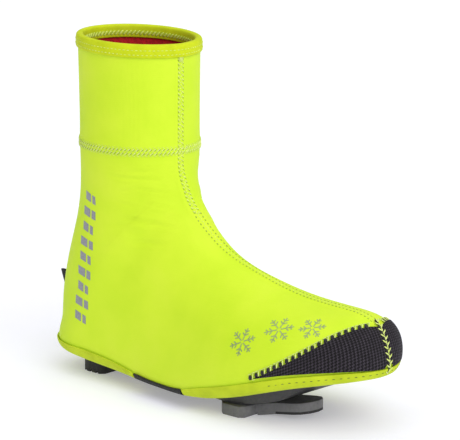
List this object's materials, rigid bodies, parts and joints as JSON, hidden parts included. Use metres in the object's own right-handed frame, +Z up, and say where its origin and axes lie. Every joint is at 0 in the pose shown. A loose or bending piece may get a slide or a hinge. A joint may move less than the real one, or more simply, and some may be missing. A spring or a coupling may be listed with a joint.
{
  "type": "winter cycling overshoe",
  "caption": "High-visibility neoprene overshoe with raised seams, woven toe cap and hem band, over a cleated sole with a heel pad.",
  "frame": {"origin": "middle of the heel pad's ground face, on the floor", "axes": "+X towards the toe, +Z up, -Y to the outer (lateral) side of this right shoe"},
  "size_m": [0.3007, 0.1103, 0.249],
  "materials": {
    "neoprene_lime": "smooth matte jersey-faced neoprene, high-visibility lime yellow",
    "binding_yellow": "folded stretch binding, olive yellow roll with two rows of stitching",
    "toe_weave": "coarse abrasion-resistant charcoal basket weave",
    "band_olive": "dull olive-lime stretch band",
    "strap_black": "black woven strap",
    "tab_black": "black folded webbing",
    "lining_red": "red brushed fleece",
    "sole_grey": "dark grey moulded sole, satin",
    "pad_rubber": "black rubber, matte",
    "cleat_grey": "grey moulded plastic, slightly scuffed"
  },
  "bodies": {
    "root": {"upper": "neoprene_lime", "collar_binding": "binding_yellow", "toe_cap_outer": "toe_weave", "toe_cap_inner": "toe_weave", "hem_band_front": "band_olive", "hem_band_rear": "band_olive", "arch_strap": "strap_black", "heel_tab": "tab_black", "insole": "lining_red", "outsole": "sole_grey", "heel_pad": "pad_rubber", "cleat": "cleat_grey"}
  },
  "joints": []
}
